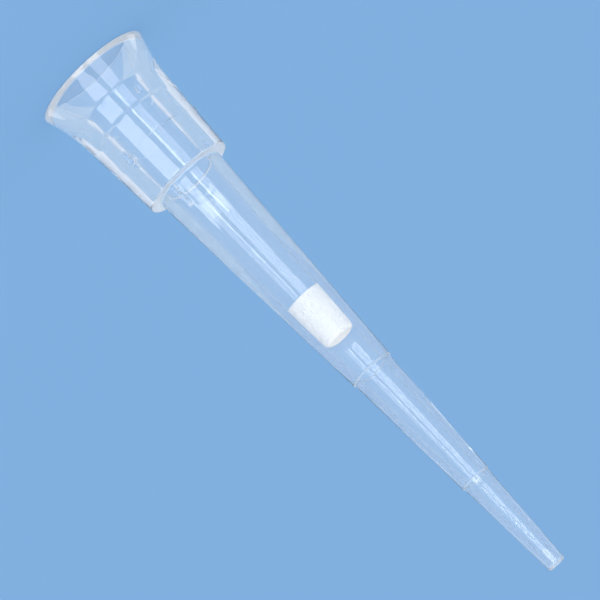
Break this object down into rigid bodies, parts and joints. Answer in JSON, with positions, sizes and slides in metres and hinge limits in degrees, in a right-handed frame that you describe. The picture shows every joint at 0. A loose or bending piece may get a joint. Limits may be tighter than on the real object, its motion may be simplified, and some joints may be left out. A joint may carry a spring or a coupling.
{
  "type": "filter pipette tip",
  "caption": "Clear small-volume pipette tip with a flared mounting collar, a flat rack ledge, a long tapered body and a porous filter plug.",
  "frame": {"origin": "centre of the mouth rim, in the plane of the rim that the tip stands on", "axes": "+Z along the bore, from the mouth to the nozzle; the tip is round about Z, so X and Y are free"},
  "size_m": [0.0058, 0.0058, 0.031],
  "materials": {
    "clear_polypropylene": "gloss",
    "sintered_filter": "matte"
  },
  "bodies": {
    "root": {"tip_body": "clear_polypropylene", "filter_plug": "sintered_filter"}
  },
  "joints": []
}
